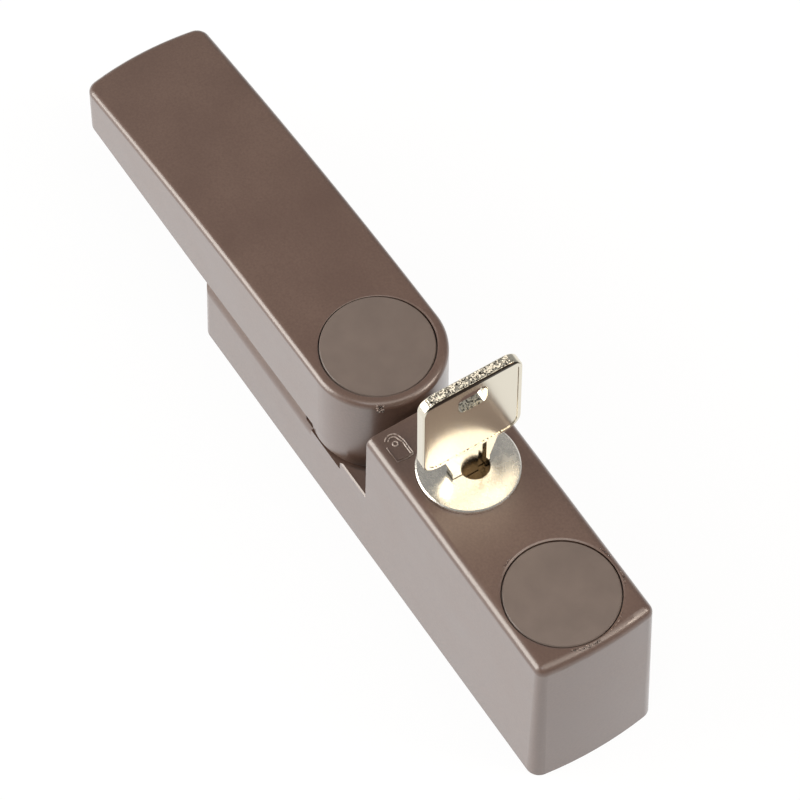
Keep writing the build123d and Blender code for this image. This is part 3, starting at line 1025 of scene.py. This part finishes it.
class WINDOWLOCK_OT_plug(bpy.types.Operator):
    """Finish the turned face of the lock"""

    bl_idname = "window_lock.plug"
    bl_label = "Lock face"

    def execute(self, context):
        dress(turned_face_nickel(context.scene.lock_finishes), "cylinder_plug")
        return {"FINISHED"}


class WINDOWLOCK_OT_works(bpy.types.Operator):
    """Finish the brass, steel and plastic parts inside"""

    bl_idname = "window_lock.works"
    bl_label = "Works inside"

    def execute(self, context):
        look = context.scene.lock_finishes
        by_slot = {
            "brass": machined_metal("turned_brass", look.brass, roughness=0.28, grain=0.5 * MM),
            "steel": machined_metal(
                "zinc_plated_steel", look.steel, roughness=0.34, grain=0.4 * MM
            ),
            "white_plastic": acetal(look),
        }
        for part in frame["record"]["subparts"]:
            if part["material_slot"] in by_slot:
                dress(by_slot[part["material_slot"]], part["node"])
        return {"FINISHED"}


class WINDOWLOCK_OT_sign(bpy.types.Operator):
    """Raise the padlock sign on the lock block"""

    bl_idname = "window_lock.sign"
    bl_label = "Padlock sign"

    def execute(self, context):
        sign = context.scene.lock_sign
        coat = rubbed_powder_coat(context.scene.lock_finishes)
        mesh = grown_mesh(
            "padlock_sign",
            sign_paths(sign),
            stroke_tree(coat),
            {"Stroke width": sign.stroke, "Relief": sign.relief},
        )
        piece_from_mesh("padlock_sign", mesh, "body")
        return {"FINISHED"}


class WINDOWLOCK_OT_stage(bpy.types.Operator):
    """Set the floor, the light and the camera"""

    bl_idname = "window_lock.stage"
    bl_label = "Studio"

    def execute(self, context):
        scene, studio = context.scene, context.scene.lock_studio
        scene.view_settings.view_transform = "Standard"
        corners = ((-1, -1), (1, -1), (1, 1), (-1, 1))
        sheet = [(x * FLOOR_HALF, y * FLOOR_HALF, FLOOR_LEVEL) for x, y in corners]
        floor = bpy.data.objects.new("studio_floor", patch_mesh("studio_floor", [sheet]))
        scene.collection.objects.link(floor)
        floor.data.materials.append(paper_floor())
        light_room(scene, studio)
        for name, (size, place, tint) in LAMPS.items():
            hang_lamp(scene, name, getattr(studio, name), size, place, tint)
        place_camera(scene, studio)
        return {"FINISHED"}


def seen_rays(tree):
    """One for rays from the camera, a mirror or glass, else nought."""
    path = add(tree, "ShaderNodeLightPath").outputs
    first = add(
        tree,
        "ShaderNodeMath",
        {0: path["Is Camera Ray"], 1: path["Is Glossy Ray"]},
        operation="MAXIMUM",
    )
    both = add(
        tree,
        "ShaderNodeMath",
        {0: first.outputs[0], 1: path["Is Transmission Ray"]},
        operation="MAXIMUM",
    )
    return both.outputs[0]


def paper_floor():
    """White paper sweep: it shows as white and keeps a soft shadow; away from the part its glow
    fades, a painted shade.
    """
    material, tree, shader = new_material("white_paper")
    set_inputs(
        tree,
        shader,
        {"Base Color": linear("f4f4f4"), "Roughness": 0.9, "Specular IOR Level": 0.1},
    )
    place = add(tree, "ShaderNodeTexCoord").outputs["Object"]
    away = add(tree, "ShaderNodeVectorMath", {0: place}, operation="LENGTH")
    # Painted shade: the floor's glow falls off with distance from the part
    painted_falloff = add(
        tree,
        "ShaderNodeMapRange",
        {
            "Value": away.outputs["Value"],
            "From Min": 0.3,
            "From Max": 1.4,
            "To Min": 1.0,
            "To Max": 0.4,
        },
    )
    glow = add(tree, "ShaderNodeEmission", {"Color": (1, 1, 1, 1), "Strength": painted_falloff.outputs[0]})
    share = add(tree, "ShaderNodeMath", {0: seen_rays(tree), 1: 0.93}, operation="MULTIPLY")
    mix = add(
        tree,
        "ShaderNodeMixShader",
        {0: share.outputs[0], 1: shader.outputs[0], 2: glow.outputs[0]},
    )
    set_inputs(tree, tree.nodes["Material Output"], {"Surface": mix.outputs[0]})
    return material


def light_room(scene, studio):
    """Even light from all round; what shows of the room is pale grey, dimmer overhead."""
    world = bpy.data.worlds.new("studio_room")
    scene.world = world
    world.use_nodes = True
    tree = world.node_tree
    tree.nodes.clear()
    direction = add(tree, "ShaderNodeTexCoord").outputs["Generated"]
    upward = add(tree, "ShaderNodeSeparateXYZ", {0: direction})
    ceiling = add(
        tree,
        "ShaderNodeMapRange",
        {
            "Value": upward.outputs["Z"],
            "From Min": 0.0,
            "From Max": 0.3,
            "To Min": 0.45,
            "To Max": studio.ceiling,
        },
    )
    white = (1, 1, 1, 1)
    shown = add(
        tree, "ShaderNodeBackground", {"Color": white, "Strength": ceiling.outputs[0]}
    )
    even = add(tree, "ShaderNodeBackground", {"Color": white, "Strength": studio.room})
    mix = add(
        tree,
        "ShaderNodeMixShader",
        {0: seen_rays(tree), 1: even.outputs[0], 2: shown.outputs[0]},
    )
    add(tree, "ShaderNodeOutputWorld", {"Surface": mix.outputs[0]})


def hang_lamp(scene, name, watts, size, place, tint):
    """A square softbox that points at the part."""
    lamp = bpy.data.lights.new(name, "AREA")
    lamp.energy = watts
    lamp.color = linear(tint)[:3]
    lamp.size = size
    holder = bpy.data.objects.new(name, lamp)
    scene.collection.objects.link(holder)
    holder.location = place
    aim = LAMP_TARGET - holder.location
    holder.rotation_euler = aim.to_track_quat("-Z", "Y").to_euler()


def place_camera(scene, studio):
    """The photograph's view: a long lens from above the lock end."""
    az, el = studio.azimuth, studio.elevation
    back = Vector((sin(az) * cos(el), -cos(az) * cos(el), sin(el)))
    right = Vector((cos(az), sin(az), 0))
    up = back.cross(right)
    data = bpy.data.cameras.new("camera")
    data.sensor_width = 36
    data.lens = studio.lens
    data.clip_end = 20
    camera = bpy.data.objects.new("camera", data)
    scene.collection.objects.link(camera)
    place = right * studio.slide_right + up * studio.slide_up + back * studio.distance
    turn = Matrix((right, up, back)).transposed().to_4x4()
    camera.matrix_world = Matrix.Translation(place) @ turn
    scene.camera = camera


class WINDOWLOCK_PT_panel(bpy.types.Panel):
    """Lists the steps and the values that shape them."""

    bl_label = "Window lock"
    bl_idname = "WINDOWLOCK_PT_panel"
    bl_space_type = "VIEW_3D"
    bl_region_type = "UI"
    bl_category = "Window lock"

    def draw(self, context):
        for name in GROUPS:
            box = self.layout.box()
            group = getattr(context.scene, name)
            for prop in group.bl_rna.properties:
                if not prop.is_readonly and prop.identifier not in {"name", "rna_type"}:
                    box.prop(group, prop.identifier)
        for step in STEPS:
            self.layout.operator(step.bl_idname)


GROUPS = {
    "lock_finishes": LockFinishes,
    "lock_sign": SignSizes,
    "lock_grains": EdgeGrainSizes,
    "lock_studio": StudioSettings,
}
STEPS = (
    WINDOWLOCK_OT_castings,
    WINDOWLOCK_OT_flash,
    WINDOWLOCK_OT_caps,
    WINDOWLOCK_OT_key,
    WINDOWLOCK_OT_plug,
    WINDOWLOCK_OT_works,
    WINDOWLOCK_OT_sign,
    WINDOWLOCK_OT_stage,
)


def register():
    for cls in (*GROUPS.values(), *STEPS, WINDOWLOCK_PT_panel):
        bpy.utils.register_class(cls)
    for name, cls in GROUPS.items():
        setattr(bpy.types.Scene, name, PointerProperty(type=cls))


def unregister():
    for name in GROUPS:
        delattr(bpy.types.Scene, name)
    for cls in reversed((*GROUPS.values(), *STEPS, WINDOWLOCK_PT_panel)):
        bpy.utils.unregister_class(cls)


def main():
    register()
    bpy.ops.window_lock.castings()
    bpy.ops.window_lock.flash()
    bpy.ops.window_lock.caps()
    bpy.ops.window_lock.key()
    bpy.ops.window_lock.plug()
    bpy.ops.window_lock.works()
    bpy.ops.window_lock.sign()
    bpy.ops.window_lock.stage()


if __name__ == "__main__":
    main()
